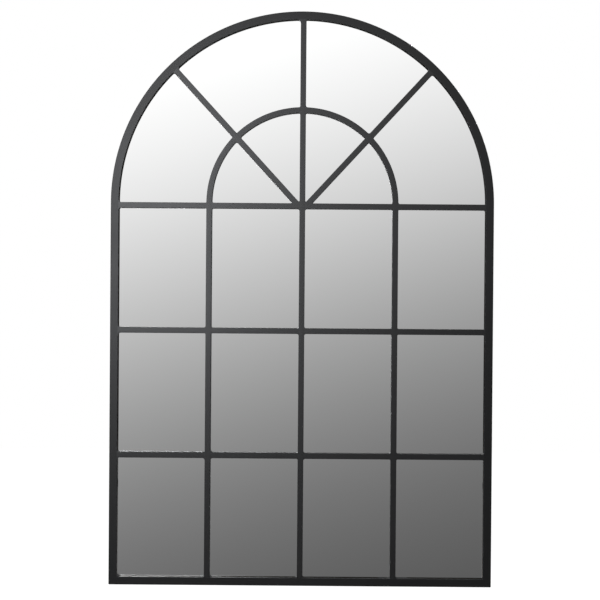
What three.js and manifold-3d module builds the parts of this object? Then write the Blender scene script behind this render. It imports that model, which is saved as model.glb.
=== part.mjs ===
// Arched window mirror: a welded steel window frame with a fan of glazing bars in its head, one sheet
// of mirror glass behind the bars, a backing board held by clips, and two ring hangers.
//
// Millimetres. +X is to the right of someone facing the mirror, +Y goes into the wall, +Z is up.
// The origin lies on the wall at the centre of both arches, midway between the two wall hooks.

import * as THREE from "three";
import { mergeVertices } from "three/addons/utils/BufferGeometryUtils.js";
import Module from "manifold-3d";

const wasm = await Module();
wasm.setup();

// ---------------------------------------------------------------- driving dimensions

// Outer frame, a rectangular steel tube
const frameWidth = 800; // outside the stiles
const straightHeight = 800; // bottom edge up to the springing line of the arches
const tubeFace = 17; // the tube's width as seen from the front
const tubeWall = 1.5;

// Glazing bars, flat steel, flush with the front of the tube
const barWidth = 12;
const barDepth = 8;
const paneRows = 3; // rows of panes below the springing line
const diagonalLean = THREE.MathUtils.degToRad(42.6); // from the upright
const diagonalAim = 13.8; // the diagonals' centre lines meet this far below the springing line
const weldGap = 0.3; // left between pieces that meet on a slant or a curve

// What lies behind the bars, from the front to the back
const tapeThickness = 0.8;
const tapeWidth = 8;
const tapeEndGap = 6; // from each end of its bar
const glassThickness = 4;
const glassEdgeGap = 1; // between the glass and the tube all round
const boardThickness = 5;
const boardEdgeGap = 0.5;
const boardRecess = 2.2; // the board's back lies this far in front of the tube's back
const settingBlockLength = 60;

// Screws with round pan heads
const screwRadius = 1.75;
const screwLength = 8;
const screwPoint = 2.5;
const screwHeadRadius = 3.5;
const screwHeadHeight = 2;
const screwHeadRim = 1.1; // the head's upright edge below its crown
const screwClearance = 0.3;

// Retaining clips, bent from strip
const clipSheet = 1.2;
const clipWidth = 14;
const clipFoot = 6; // beyond the screw, towards the outside
const clipToe = 12; // length of the toe on the board
const clipStepGap = 1.5; // between the tube's inner edge and the clip's step
const archClipAngle = THREE.MathUtils.degToRad(45); // from the springing line
const stileClipHeights = [-230, -590];

// Ring hangers: a sheet strap curled round the straight side of a wire D-ring
const wireRadius = 1.25;
const eyeWidth = 10; // inside the ring
const eyeReach = 15; // from the ring's pivot to the inside of its round end
const ringCorner = 2; // bend radius of the wire's centre line at the straight side
const strapSheet = 1;
const strapLength = 42; // below the pivot
const strapSideGap = 0.5; // between the curl and the ring's legs
const ringPlay = 0.3; // between the wire and the curl
const strapScrewDrops = [22, 34]; // below the pivot

// Wall bumpers at the lower corners
const bumperHeight = 6;
const bumperRadius = 7.5;
const bumperFaceRadius = 6;
const bumperRise = 32; // centre above the bottom edge

// Roundness of curved pieces
const archSteps = 64; // facets of a half circle
const holeSides = 16;
const screwSides = 16;
const bumperSides = 32;
const wireSides = 8;
const wireBendSteps = 12; // facets of the ring's round end
const wireCornerSteps = 3;

// ---------------------------------------------------------------- sizes that follow

const outerRadius = frameWidth / 2;
const innerRadius = outerRadius - tubeFace;
const tubeRadius = outerRadius - tubeFace / 2; // the tube's centre line
const bottomEdge = -straightHeight;
const sightLine = bottomEdge + tubeFace; // top of the bottom rail

const halfBar = barWidth / 2;
const paneWidth = (2 * innerRadius - 3 * barWidth) / 4;
const sideBarPlace = paneWidth + barWidth; // centre of each side bar
const paneHeight = (-sightLine - paneRows * barWidth) / paneRows;

// Depths, as the y of each layer's back
const frameBack = -bumperHeight;
const boardBack = frameBack - boardRecess;
const glassBack = boardBack - boardThickness;
const tapeBack = glassBack - glassThickness;
const barBack = tapeBack - tapeThickness;
const tubeDepth = barDepth + tapeThickness + glassThickness + boardThickness + boardRecess;

const holeRadius = screwRadius + screwClearance;
const knuckleHole = wireRadius + ringPlay;
const knuckleRadius = knuckleHole + strapSheet;
const strapWidth = eyeWidth - 2 * strapSideGap;
const ringHalfWidth = eyeWidth / 2 + wireRadius; // to the wire's centre line
const ringLeg = eyeReach + wireRadius - ringHalfWidth; // straight length of the ring's sides
const pivotHeight = -eyeReach; // so that a raised ring hangs on a hook at the springing line
const pivotOffFrame = strapSheet + knuckleHole; // from the tube's back to the pivot

// ---------------------------------------------------------------- finishes

function finish(color, roughness, metalness) {
  return () => new THREE.MeshStandardMaterial({ color, roughness, metalness });
}

const powderCoat = finish(0x3a3b3d, 0.55, 0.3);
const silvered = finish(0xd8dadb, 0.03, 1);
const hardboard = finish(0x8a6846, 0.85, 0);
const foam = finish(0x1c1c1c, 0.95, 0);
const nylon = finish(0x2a2a2a, 0.6, 0);
const zincPlate = finish(0xb9bcc0, 0.35, 1);
const rubber = finish(0x1f1f20, 0.9, 0);

// ---------------------------------------------------------------- shaping

const X = new THREE.Vector3(1, 0, 0);
const Y = new THREE.Vector3(0, 1, 0);
const Z = new THREE.Vector3(0, 0, 1);

// A flat outline seen from the front becomes a slab whose back lies on y = 0.
function slab(outline, thickness) {
  const shape = Array.isArray(outline) ? new THREE.Shape(outline) : outline;
  const standing = new THREE.Matrix4().makeBasis(X, Z, Y.clone().negate());
  return new THREE.ExtrudeGeometry(shape, { depth: thickness, bevelEnabled: false }).applyMatrix4(standing);
}

// A bent strip's section, drawn with x upwards and y towards the back, becomes a strip of a given width.
function strip(section, width) {
  const across = new THREE.Matrix4().makeBasis(Z, Y, X.clone().negate()).setPosition(width / 2, 0, 0);
  return new THREE.ExtrudeGeometry(section, { depth: width, bevelEnabled: false }).applyMatrix4(across);
}

function rectangle(left, right, bottom, top) {
  return [
    new THREE.Vector2(left, bottom),
    new THREE.Vector2(right, bottom),
    new THREE.Vector2(right, top),
    new THREE.Vector2(left, top),
  ];
}

// Points on a circle about the springing centre. The facets are as long as a full arch's.
function arc(radius, from, to) {
  const steps = Math.max(1, Math.round((archSteps * Math.abs(to - from)) / Math.PI));
  return Array.from({ length: steps + 1 }, (_, i) => {
    const angle = from + ((to - from) * i) / steps;
    return new THREE.Vector2(radius * Math.cos(angle), radius * Math.sin(angle));
  });
}

// An arch-topped sheet whose straight sides run down to a level.
function archedSheet(radius, bottom) {
  return [new THREE.Vector2(radius, bottom), ...arc(radius, 0, Math.PI), new THREE.Vector2(-radius, bottom)];
}

// A length of a ring about the springing centre. Each end gives its angle for a radius.
function ringLength(outer, inner, startAngle, endAngle) {
  return [
    ...arc(outer, startAngle(outer), endAngle(outer)),
    ...arc(inner, endAngle(inner), startAngle(inner)),
  ];
}

function toSolid(geometry) {
  const bare = geometry.clone();
  bare.deleteAttribute("normal");
  bare.deleteAttribute("uv");
  const merged = mergeVertices(bare);
  return new wasm.Manifold(
    new wasm.Mesh({
      numProp: 3,
      vertProperties: merged.attributes.position.array,
      triVerts: new Uint32Array(merged.index.array),
    }),
  );
}

function toGeometry(solid) {
  const mesh = solid.getMesh();
  const geometry = new THREE.BufferGeometry()
    .setAttribute("position", new THREE.BufferAttribute(mesh.vertProperties, mesh.numProp))
    .setIndex(new THREE.BufferAttribute(mesh.triVerts, 1));
  geometry.computeVertexNormals();
  return geometry;
}

function cut(geometry, ...cutters) {
  return toGeometry(cutters.reduce((solid, cutter) => solid.subtract(toSolid(cutter)), toSolid(geometry)));
}

function keepInside(geometry, limit) {
  return toGeometry(toSolid(geometry).intersect(toSolid(limit)));
}

// A member of the frame: a slab as deep as the tube, hollowed by a bore that runs out past its ends.
function tube(outline, bore) {
  const boreDepth = tubeDepth - 2 * tubeWall;
  return cut(slab(outline, tubeDepth), slab(bore, boreDepth).translate(0, -tubeWall, 0));
}

// The cutter for a screw hole through the tube's back wall. The tube's back lies on y = 0.
function screwHole(x, z) {
  const reach = 2 * tubeWall;
  return new THREE.CylinderGeometry(holeRadius, holeRadius, reach, holeSides).translate(x, 0, z);
}

function add(parent, name, geometry, makeMaterial, x = 0, y = 0, z = 0) {
  const mesh = new THREE.Mesh(geometry, makeMaterial());
  mesh.name = name;
  mesh.position.set(x, y, z);
  parent.add(mesh);
  return mesh;
}

const mirror = new THREE.Group();

// What stands on the right is built once for each side, and the left one is its mirror image.
const halves = [
  ["left", -1],
  ["right", 1],
].map(([side, sign]) => {
  const group = new THREE.Group();
  group.scale.x = sign;
  mirror.add(group);
  return { side, group };
});

// ---------------------------------------------------------------- outer frame

// The places of the retaining clips: the screw's centre and the turn that points the clip's foot outwards.
function clipOnArch(angle) {
  return {
    x: tubeRadius * Math.cos(angle),
    z: tubeRadius * Math.sin(angle),
    turn: Math.PI / 2 - angle,
  };
}

const shoulderClip = clipOnArch(archClipAngle);
const crownClip = clipOnArch(Math.PI / 2);
const bottomClip = { x: 0, z: bottomEdge + tubeFace / 2, turn: Math.PI };
const stileClips = stileClipHeights.map((z) => ({ x: tubeRadius, z, turn: Math.PI / 2 }));
const strapScrewHeights = strapScrewDrops.map((drop) => pivotHeight - drop);

const endReach = 2 * tubeFace; // how far a bore is drawn past the tube's ends

function archGeometry() {
  const bore = [
    new THREE.Vector2(outerRadius - tubeWall, -endReach),
    ...arc(outerRadius - tubeWall, 0, Math.PI),
    new THREE.Vector2(-outerRadius + tubeWall, -endReach),
    new THREE.Vector2(-innerRadius - tubeWall, -endReach),
    ...arc(innerRadius + tubeWall, Math.PI, 0),
    new THREE.Vector2(innerRadius + tubeWall, -endReach),
  ];
  const band = ringLength(outerRadius, innerRadius, () => 0, () => Math.PI);
  return cut(
    tube(band, bore),
    screwHole(shoulderClip.x, shoulderClip.z),
    screwHole(crownClip.x, crownClip.z),
    screwHole(-shoulderClip.x, shoulderClip.z),
  );
}

function stileGeometry() {
  const mitre = weldGap * Math.SQRT2; // measured along the stile
  const outline = [
    new THREE.Vector2(innerRadius, 0),
    new THREE.Vector2(innerRadius, sightLine + mitre),
    new THREE.Vector2(outerRadius, bottomEdge + mitre),
    new THREE.Vector2(outerRadius, 0),
  ];
  const bore = rectangle(innerRadius + tubeWall, outerRadius - tubeWall, bottomEdge - endReach, endReach);
  return cut(
    tube(outline, bore),
    ...stileClips.map(({ x, z }) => screwHole(x, z)),
    ...strapScrewHeights.map((z) => screwHole(tubeRadius, z)),
  );
}

function bottomRailGeometry() {
  const outline = [
    new THREE.Vector2(-outerRadius, bottomEdge),
    new THREE.Vector2(outerRadius, bottomEdge),
    new THREE.Vector2(innerRadius, sightLine),
    new THREE.Vector2(-innerRadius, sightLine),
  ];
  const boreEnd = outerRadius + endReach;
  const bore = rectangle(-boreEnd, boreEnd, bottomEdge + tubeWall, sightLine - tubeWall);
  return cut(tube(outline, bore), screwHole(bottomClip.x, bottomClip.z));
}

add(mirror, "frame_arch", archGeometry(), powderCoat, 0, frameBack);
add(mirror, "bottom_rail", bottomRailGeometry(), powderCoat, 0, frameBack);
for (const { side, group } of halves) {
  add(group, `${side}_stile`, stileGeometry(), powderCoat, 0, frameBack);
}

// ---------------------------------------------------------------- glazing bars

// Where the edge of a bar that is `offset` to the right of centre meets the inside of the arch.
function archInsideAbove(offset) {
  return Math.sqrt((innerRadius - weldGap) ** 2 - offset ** 2);
}

const centreBarTop = archInsideAbove(halfBar);
const centreBar = slab(rectangle(-halfBar, halfBar, sightLine, centreBarTop), barDepth);
add(mirror, "centre_bar", centreBar, powderCoat, 0, barBack);

for (const { side, group } of halves) {
  const sideBar = slab(rectangle(-halfBar, halfBar, sightLine, 0), barDepth);
  add(group, `${side}_bar`, sideBar, powderCoat, sideBarPlace, barBack);
}

// Cross bars: each level is four lengths, numbered from the left, between the uprights.
const levels = ["transom", "upper_rung", "lower_rung"];
const uprights = [-innerRadius, -sideBarPlace, 0, sideBarPlace, innerRadius];
for (let row = 0; row < paneRows; row++) {
  const level = levels[row] ?? `rung_${row + 1}`;
  const top = -row * (paneHeight + barWidth);
  for (let column = 0; column < uprights.length - 1; column++) {
    const left = uprights[column] + (column === 0 ? 0 : halfBar);
    const right = uprights[column + 1] - (column === uprights.length - 2 ? 0 : halfBar);
    const rung = slab(rectangle(left, right, top - barWidth, top), barDepth);
    add(mirror, `${level}_${column + 1}`, rung, powderCoat, 0, barBack);
  }
}

// The right diagonal's line: its aim below the hub, the way it runs, and the way across it.
const aim = new THREE.Vector2(0, -diagonalAim);
const along = new THREE.Vector2(Math.sin(diagonalLean), Math.cos(diagonalLean));
const across = new THREE.Vector2(along.y, -along.x); // to its lower side

// The point on the line `offset` across the diagonal that is at a radius or at a height.
function onDiagonal(offset, { radius, z }) {
  const start = aim.clone().addScaledVector(across, offset);
  const nearest = -start.dot(along);
  const reach =
    radius === undefined
      ? (z - start.y) / along.y
      : nearest + Math.sqrt(nearest ** 2 - start.lengthSq() + radius ** 2);
  return start.addScaledVector(along, reach);
}

// The bar is drawn on past the hub and kept above the transom and beside the centre bar.
function diagonalGeometry() {
  const nearEnd = { z: -barWidth };
  const farEnd = { radius: innerRadius - weldGap };
  const bar = slab(
    [
      onDiagonal(halfBar, nearEnd),
      onDiagonal(halfBar, farEnd),
      onDiagonal(-halfBar, farEnd),
      onDiagonal(-halfBar, nearEnd),
    ],
    barDepth,
  );
  const corner = rectangle(halfBar + weldGap, outerRadius, weldGap, outerRadius);
  return keepInside(bar, slab(corner, 3 * barDepth).translate(0, barDepth, 0));
}

// The inner arch carries on from the side bars and is cut where the diagonals and the centre bar pass.
function innerArcGeometry(startAngle, endAngle) {
  const outer = sideBarPlace + halfBar;
  const inner = sideBarPlace - halfBar;
  return slab(ringLength(outer, inner, startAngle, endAngle), barDepth);
}

const besideDiagonal = (offset) => (radius) => onDiagonal(offset, { radius }).angle();
const besideCentreBar = (radius) => Math.acos(halfBar / radius);
const clearOfDiagonal = halfBar + weldGap;

for (const { side, group } of halves) {
  add(group, `${side}_diagonal`, diagonalGeometry(), powderCoat, 0, barBack);
  const lowerArc = innerArcGeometry(() => 0, besideDiagonal(clearOfDiagonal));
  const upperArc = innerArcGeometry(besideDiagonal(-clearOfDiagonal), besideCentreBar);
  add(group, `${side}_lower_arc`, lowerArc, powderCoat, 0, barBack);
  add(group, `${side}_upper_arc`, upperArc, powderCoat, 0, barBack);
}

// ---------------------------------------------------------------- glass, tape, pads and board

const glassRadius = innerRadius - glassEdgeGap;
const glassBottom = sightLine + glassEdgeGap;
const glass = slab(archedSheet(glassRadius, glassBottom), glassThickness);
add(mirror, "mirror_glass", glass, silvered, 0, glassBack);

const boardRadius = innerRadius - boardEdgeGap;
const board = slab(archedSheet(boardRadius, sightLine + boardEdgeGap), boardThickness);
add(mirror, "backing_board", board, hardboard, 0, boardBack);

function tapeGeometry(barTop) {
  const outline = rectangle(-tapeWidth / 2, tapeWidth / 2, sightLine + tapeEndGap, barTop - tapeEndGap);
  return slab(outline, tapeThickness);
}

add(mirror, "centre_tape", tapeGeometry(centreBarTop), foam, 0, tapeBack);
for (const { side, group } of halves) {
  add(group, `${side}_tape`, tapeGeometry(0), foam, sideBarPlace, tapeBack);
  const halfBlock = settingBlockLength / 2;
  const block = slab(rectangle(-halfBlock, halfBlock, sightLine, glassBottom), glassThickness);
  add(group, `${side}_setting_block`, block, nylon, sideBarPlace, glassBack);
}

// ---------------------------------------------------------------- clips and screws

// A pan-head screw along Y. The underside of its head lies on y = 0 and its point is in front.
function screwGeometry() {
  const crownRadius = 0.7 * screwHeadRadius;
  const profile = [
    new THREE.Vector2(0, -screwLength),
    new THREE.Vector2(screwRadius, -screwLength + screwPoint),
    new THREE.Vector2(screwRadius, 0),
    new THREE.Vector2(screwHeadRadius, 0),
    new THREE.Vector2(screwHeadRadius, screwHeadRim),
    new THREE.Vector2(crownRadius, screwHeadHeight),
    new THREE.Vector2(0, screwHeadHeight),
  ];
  return new THREE.LatheGeometry(profile, screwSides);
}

// A clip stands with its foot on y = 0 round the screw at the origin and its toe on the board below it.
function clipGeometry() {
  const stepOuter = -tubeFace / 2 - clipStepGap;
  const stepInner = stepOuter - clipSheet;
  const toeEnd = stepOuter - clipToe;
  const section = new THREE.Shape([
    new THREE.Vector2(clipFoot, 0),
    new THREE.Vector2(clipFoot, clipSheet),
    new THREE.Vector2(stepInner, clipSheet),
    new THREE.Vector2(stepInner, clipSheet - boardRecess),
    new THREE.Vector2(toeEnd, clipSheet - boardRecess),
    new THREE.Vector2(toeEnd, -boardRecess),
    new THREE.Vector2(stepOuter, -boardRecess),
    new THREE.Vector2(stepOuter, 0),
  ]);
  const hole = new THREE.CylinderGeometry(holeRadius, holeRadius, 4 * clipSheet, holeSides);
  return cut(strip(section, clipWidth), hole);
}

function addClip(parent, place, { x, z, turn }) {
  const seat = new THREE.Group();
  seat.position.set(x, frameBack, z);
  seat.rotation.y = turn;
  parent.add(seat);
  add(seat, `${place}_clip`, clipGeometry(), zincPlate);
  add(seat, `${place}_clip_screw`, screwGeometry(), zincPlate, 0, clipSheet);
}

addClip(mirror, "crown", crownClip);
addClip(mirror, "bottom", bottomClip);
for (const { side, group } of halves) {
  addClip(group, `${side}_shoulder`, shoulderClip);
  stileClips.forEach((place, i) => addClip(group, `${side}_stile_${i + 1}`, place));
}

// ---------------------------------------------------------------- ring hangers

// The strap's section with the pivot at the origin: a flat tail below a closed curl.
function strapGeometry() {
  const tailBack = -knuckleHole; // the tail's outer face
  const tailFront = -knuckleRadius; // its face on the tube
  const curlMeetsTail = Math.sqrt(knuckleRadius ** 2 - tailBack ** 2);
  const section = new THREE.Shape();
  section.moveTo(-strapLength, tailFront);
  section.lineTo(0, tailFront);
  section.absarc(0, 0, knuckleRadius, -Math.PI / 2, Math.atan2(tailBack, -curlMeetsTail) + 2 * Math.PI, false);
  section.lineTo(-strapLength, tailBack);
  const barHole = new THREE.Path();
  barHole.absarc(0, 0, knuckleHole, 0, 2 * Math.PI, true);
  section.holes.push(barHole);

  const endRound = strapWidth / 2;
  const tailEnd = new THREE.Shape();
  tailEnd.moveTo(endRound, -strapLength + endRound);
  tailEnd.lineTo(endRound, 2 * knuckleRadius);
  tailEnd.lineTo(-endRound, 2 * knuckleRadius);
  tailEnd.lineTo(-endRound, -strapLength + endRound);
  tailEnd.absarc(0, -strapLength + endRound, endRound, -Math.PI, 0, false);
  const silhouette = slab(tailEnd, 4 * knuckleRadius).translate(0, 2 * knuckleRadius, 0);

  const holes = strapScrewDrops.map((drop) =>
    new THREE.CylinderGeometry(holeRadius, holeRadius, 4 * strapSheet, holeSides).translate(0, tailFront, -drop),
  );
  return cut(keepInside(strip(section, strapWidth), silhouette), ...holes);
}

// The centre line of the wire, hanging down from the pivot at the origin, as points with no repeat.
function ringCentreLine() {
  const loop = new THREE.Shape();
  const bend = ringHalfWidth - ringCorner;
  loop.moveTo(-bend, 0);
  loop.lineTo(bend, 0);
  loop.absarc(bend, -ringCorner, ringCorner, Math.PI / 2, 0, true);
  loop.lineTo(ringHalfWidth, -ringLeg);
  loop.absarc(0, -ringLeg, ringHalfWidth, 0, -Math.PI, true);
  loop.lineTo(-ringHalfWidth, -ringCorner);
  loop.absarc(-bend, -ringCorner, ringCorner, Math.PI, Math.PI / 2, true);
  const stepsOf = (curve) => {
    if (curve.isLineCurve) return 1;
    return curve.xRadius === ringCorner ? wireCornerSteps : wireBendSteps;
  };
  return loop.curves.flatMap((curve) => curve.getPoints(stepsOf(curve)).slice(1));
}

// A round wire along a closed flat line: a ring of points square to the line at each of its points.
function wireGeometry(line, radius) {
  const positions = [];
  const index = [];
  line.forEach((point, i) => {
    const before = line[(i + line.length - 1) % line.length];
    const after = line[(i + 1) % line.length];
    const run = after.clone().sub(before).normalize();
    for (let side = 0; side < wireSides; side++) {
      const angle = ((side + 0.5) / wireSides) * 2 * Math.PI;
      const outward = radius * Math.cos(angle);
      positions.push(point.x - run.y * outward, radius * Math.sin(angle), point.y + run.x * outward);
      const here = i * wireSides;
      const next = ((i + 1) % line.length) * wireSides;
      const turned = (side + 1) % wireSides;
      index.push(here + side, next + side, next + turned);
      index.push(here + side, next + turned, here + turned);
    }
  });
  const geometry = new THREE.BufferGeometry()
    .setAttribute("position", new THREE.Float32BufferAttribute(positions, 3))
    .setIndex(index);
  geometry.computeVertexNormals();
  return geometry;
}

for (const { side, group } of halves) {
  const hanger = new THREE.Group();
  hanger.position.set(tubeRadius, frameBack + pivotOffFrame, pivotHeight);
  group.add(hanger);
  add(hanger, `${side}_strap`, strapGeometry(), zincPlate);
  add(hanger, `${side}_ring`, wireGeometry(ringCentreLine(), wireRadius), zincPlate);
  strapScrewDrops.forEach((drop, i) => {
    add(hanger, `${side}_strap_screw_${i + 1}`, screwGeometry(), zincPlate, 0, -knuckleHole, -drop);
  });
}

// ---------------------------------------------------------------- wall bumpers

function bumperGeometry() {
  const shoulder = bumperHeight / 2;
  const profile = [
    new THREE.Vector2(0, 0),
    new THREE.Vector2(bumperRadius, 0),
    new THREE.Vector2(bumperRadius, shoulder),
    new THREE.Vector2(bumperFaceRadius, bumperHeight),
    new THREE.Vector2(0, bumperHeight),
  ];
  return new THREE.LatheGeometry(profile, bumperSides);
}

for (const { side, group } of halves) {
  add(group, `${side}_bumper`, bumperGeometry(), rubber, tubeRadius, frameBack, bottomEdge + bumperRise);
}

export default mirror;
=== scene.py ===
import math

import bmesh
import bpy
from mathutils import Matrix, Vector


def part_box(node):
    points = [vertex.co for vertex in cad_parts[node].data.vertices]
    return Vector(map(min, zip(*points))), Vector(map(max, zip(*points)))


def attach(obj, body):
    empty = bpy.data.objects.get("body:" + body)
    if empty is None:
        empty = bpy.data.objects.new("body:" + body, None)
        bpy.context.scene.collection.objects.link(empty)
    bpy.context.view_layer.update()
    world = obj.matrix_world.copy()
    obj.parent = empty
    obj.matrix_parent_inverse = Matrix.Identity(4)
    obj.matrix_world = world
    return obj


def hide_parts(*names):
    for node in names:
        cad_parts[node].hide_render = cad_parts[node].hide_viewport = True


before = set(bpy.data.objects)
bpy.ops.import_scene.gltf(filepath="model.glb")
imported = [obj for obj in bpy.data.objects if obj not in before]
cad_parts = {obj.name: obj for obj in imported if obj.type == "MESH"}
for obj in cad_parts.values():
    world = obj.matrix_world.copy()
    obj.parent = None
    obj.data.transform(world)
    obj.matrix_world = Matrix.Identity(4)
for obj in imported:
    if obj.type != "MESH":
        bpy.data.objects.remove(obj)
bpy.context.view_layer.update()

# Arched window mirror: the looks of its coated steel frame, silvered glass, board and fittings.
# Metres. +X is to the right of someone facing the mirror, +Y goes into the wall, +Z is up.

# -------------------------------- sizes

MM = 0.001
X = Vector((1, 0, 0))
Y = Vector((0, 1, 0))
Z = Vector((0, 0, 1))

# Places taken from the frame
arch_low, arch_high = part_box("frame_arch")
rail_low, rail_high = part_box("bottom_rail")
bar_low, bar_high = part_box("centre_bar")
side_bar_low, side_bar_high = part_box("right_bar")
glass_low, glass_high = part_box("mirror_glass")
board_low, board_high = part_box("backing_board")

OUTER = arch_high.x  # outside radius of the arch
FRONT = arch_low.y
TUBE_BACK = arch_high.y
BOTTOM = rail_low.z
SIGHT_LINE = rail_high.z  # top of the bottom rail
TUBE = SIGHT_LINE - BOTTOM
INNER = OUTER - TUBE
HALF_BAR = (bar_high.x - bar_low.x) / 2
BAR_BACK = bar_high.y
SIDE_BAR = (side_bar_low.x + side_bar_high.x) / 2  # also the inner arch's radius
BOARD_RECESS = TUBE_BACK - board_high.y

# Steel
TUBE_ROUND = 1 * MM  # rounding of the tube's long edges
BAR_ROUND = 0.7 * MM  # rounding of the flat bars' long edges
CORNER_ROUND = 2 * MM  # the frame's outer corners, ground after welding
DIAGONAL_LEAN = math.radians(42.6)  # from the upright
DIAGONAL_AIM = 13.8 * MM  # the diagonals' centre lines meet this far below the springing line
ARCH_STEPS = 128

# Weld fillets in the corners of the panes
WELD_LEG = 3 * MM  # how far a fillet runs along each bar
WELD_SPREAD = 1 * MM  # how much the leg differs from weld to weld
WELD_SINK = 0.02 * MM  # below the front of the bars
WELD_ROUND = 0.5 * MM
WELD_STEPS = 6
WELD_RHYTHM = 2.4  # radians of the spread from one weld to the next
AT_CORNER = 1 * MM  # a reach that takes in one corner
ROUND_CROSSING = 12 * MM  # and one that takes in all four corners of a crossing
ROUND_HUB = 9 * MM
HUB_WELD = HALF_BAR + 4 * MM  # the middle of the welds on each side of the fan's hub

# Glass and board
GLASS_EASING = 0.15 * MM
BOARD_EASING = 0.6 * MM

# Sheet, wire and fittings
CLIP_SHEET = 1.2 * MM
CLIP_WIDTH = 14 * MM
CLIP_FOOT = 6 * MM  # beyond the screw, which stands in the middle of the tube
CLIP_REACH = 13 * MM  # of the toe over the board, from the tube's inner side
CLIP_STEP = 2.2 * MM  # length of the step down onto the board
CLIP_BEND = 0.9 * MM
CLIP_FOOT_CORNER = 3.2 * MM
CLIP_TOE_CORNER = 1.8 * MM
SHEARED_EDGE = 0.12 * MM  # rounding left on punched sheet
STRAP_SHEET = 1 * MM
STRAP_WIDTH = 9 * MM
STRAP_LENGTH = 42 * MM  # below the pivot
WIRE = 1.25 * MM  # radius
WIRE_CORNER = 2 * MM
CURL_PLAY = 0.3 * MM
CURL_TURN = math.radians(298)
CURL_STEPS = 24
RING_HALF_WIDTH = 6.25 * MM  # to the wire's centre line
RING_LEG = 10 * MM
SCREW_HEAD = 3.5 * MM  # radius
SCREW_HEAD_HEIGHT = 2 * MM
SCREW_SHANK = 1.75 * MM
SCREW_LENGTH = 8 * MM
SCREW_TURN = 0.7  # radians from where one cross came to rest to the next

# Limits of the shaping
TOUCHING = 1e-6  # points nearer than this are one
ON_PLANE = 1e-7
SAME_DEPTH = 1e-9
SQUARE_ON = 0.99  # of a face's normal along Y
SHARP = math.radians(50)
CREASE = math.radians(35)

# -------------------------------- shader effects


def feed(tree, socket, value):
    """Gives an input socket a fixed value, or the value of an output socket."""
    if isinstance(value, bpy.types.NodeSocket):
        tree.links.new(value, socket)
    else:
        socket.default_value = value


def math_node(tree, operation, first, second=None, clamp=False):
    """A Math node. Each term is a number or an output socket."""
    node = tree.nodes.new("ShaderNodeMath")
    node.operation = operation
    node.use_clamp = clamp
    feed(tree, node.inputs[0], first)
    if second is not None:
        feed(tree, node.inputs[1], second)
    return node.outputs[0]


def noise_node(tree, place, scale, detail, roughness, distortion=0.0):
    node = tree.nodes.new("ShaderNodeTexNoise")
    labels = ("Vector", "Scale", "Detail", "Roughness", "Distortion")
    for label, value in zip(labels, (place, scale, detail, roughness, distortion)):
        feed(tree, node.inputs[label], value)
    return node.outputs["Fac"]


def split(tree, vector):
    """The X, Y and Z of a vector."""
    parts = tree.nodes.new("ShaderNodeSeparateXYZ")
    tree.links.new(vector, parts.inputs[0])
    return parts.outputs


def effect(name, inputs, outputs):
    """An empty shader node group with named inputs and outputs."""
    group = bpy.data.node_groups.new(name, "ShaderNodeTree")
    for label, value in inputs.items():
        socket = group.interface.new_socket(label, in_out="INPUT", socket_type="NodeSocketFloat")
        socket.default_value = value
    for label in outputs:
        group.interface.new_socket(label, in_out="OUTPUT", socket_type="NodeSocketFloat")
    entry = group.nodes.new("NodeGroupInput")
    result = group.nodes.new("NodeGroupOutput")
    return group, entry.outputs, result.inputs


def make_grain():
    """Fine grain and broad clouding of a surface, both from 0 to 1."""
    inputs = {"Grain Scale": 900.0, "Cloud Scale": 9.0}
    group, entry, result = effect("grain", inputs, ["Grain", "Cloud"])
    place = group.nodes.new("ShaderNodeTexCoord").outputs["Object"]
    grain = noise_node(group, place, entry["Grain Scale"], detail=2.0, roughness=0.55)
    cloud = noise_node(group, place, entry["Cloud Scale"], detail=4.0, roughness=0.6)
    group.links.new(grain, result["Grain"])
    group.links.new(cloud, result["Cloud"])
    return group


def make_rubbed_edges():
    """1 on rubbed outside edges, broken up by grain, and 0 elsewhere."""
    group, entry, result = effect("rubbed_edges", {"Amount": 0.5, "Grain": 0.5}, ["Mask"])
    pointed = group.nodes.new("ShaderNodeNewGeometry").outputs["Pointiness"]
    flat = 0.5
    sharpness = 14.0
    edge = math_node(group, "SUBTRACT", pointed, flat)
    edge = math_node(group, "MULTIPLY", edge, sharpness, clamp=True)
    edge = math_node(group, "MULTIPLY", edge, entry["Grain"])
    edge = math_node(group, "MULTIPLY", edge, entry["Amount"], clamp=True)
    group.links.new(edge, result["Mask"])
    return group


def make_settled_dust():
    """A thin layer of dust on what faces up, thicker in the clouding."""
    group, entry, result = effect("settled_dust", {"Amount": 0.2, "Cloud": 0.5}, ["Mask"])
    normal = group.nodes.new("ShaderNodeNewGeometry").outputs["Normal"]
    fall_off = 3.0
    up = math_node(group, "MAXIMUM", split(group, normal)["Z"], 0.0)
    up = math_node(group, "POWER", up, fall_off)
    up = math_node(group, "MULTIPLY", up, entry["Cloud"])
    up = math_node(group, "MULTIPLY", up, entry["Amount"], clamp=True)
    group.links.new(up, result["Mask"])
    return group


def make_sprayed_from_front():
    """1 on faces square to the spray, which came from the front, and 0 on the edges beside them."""
    group, _, result = effect("sprayed_from_front", {}, ["Mask"])
    normal = group.nodes.new("ShaderNodeNewGeometry").outputs["Normal"]
    depth = split(group, normal)["Y"]
    group.links.new(math_node(group, "MULTIPLY", depth, depth), result["Mask"])
    return group


GRAIN = make_grain()
RUBBED_EDGES = make_rubbed_edges()
SETTLED_DUST = make_settled_dust()
SPRAYED_FROM_FRONT = make_sprayed_from_front()

# -------------------------------- finishes

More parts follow.
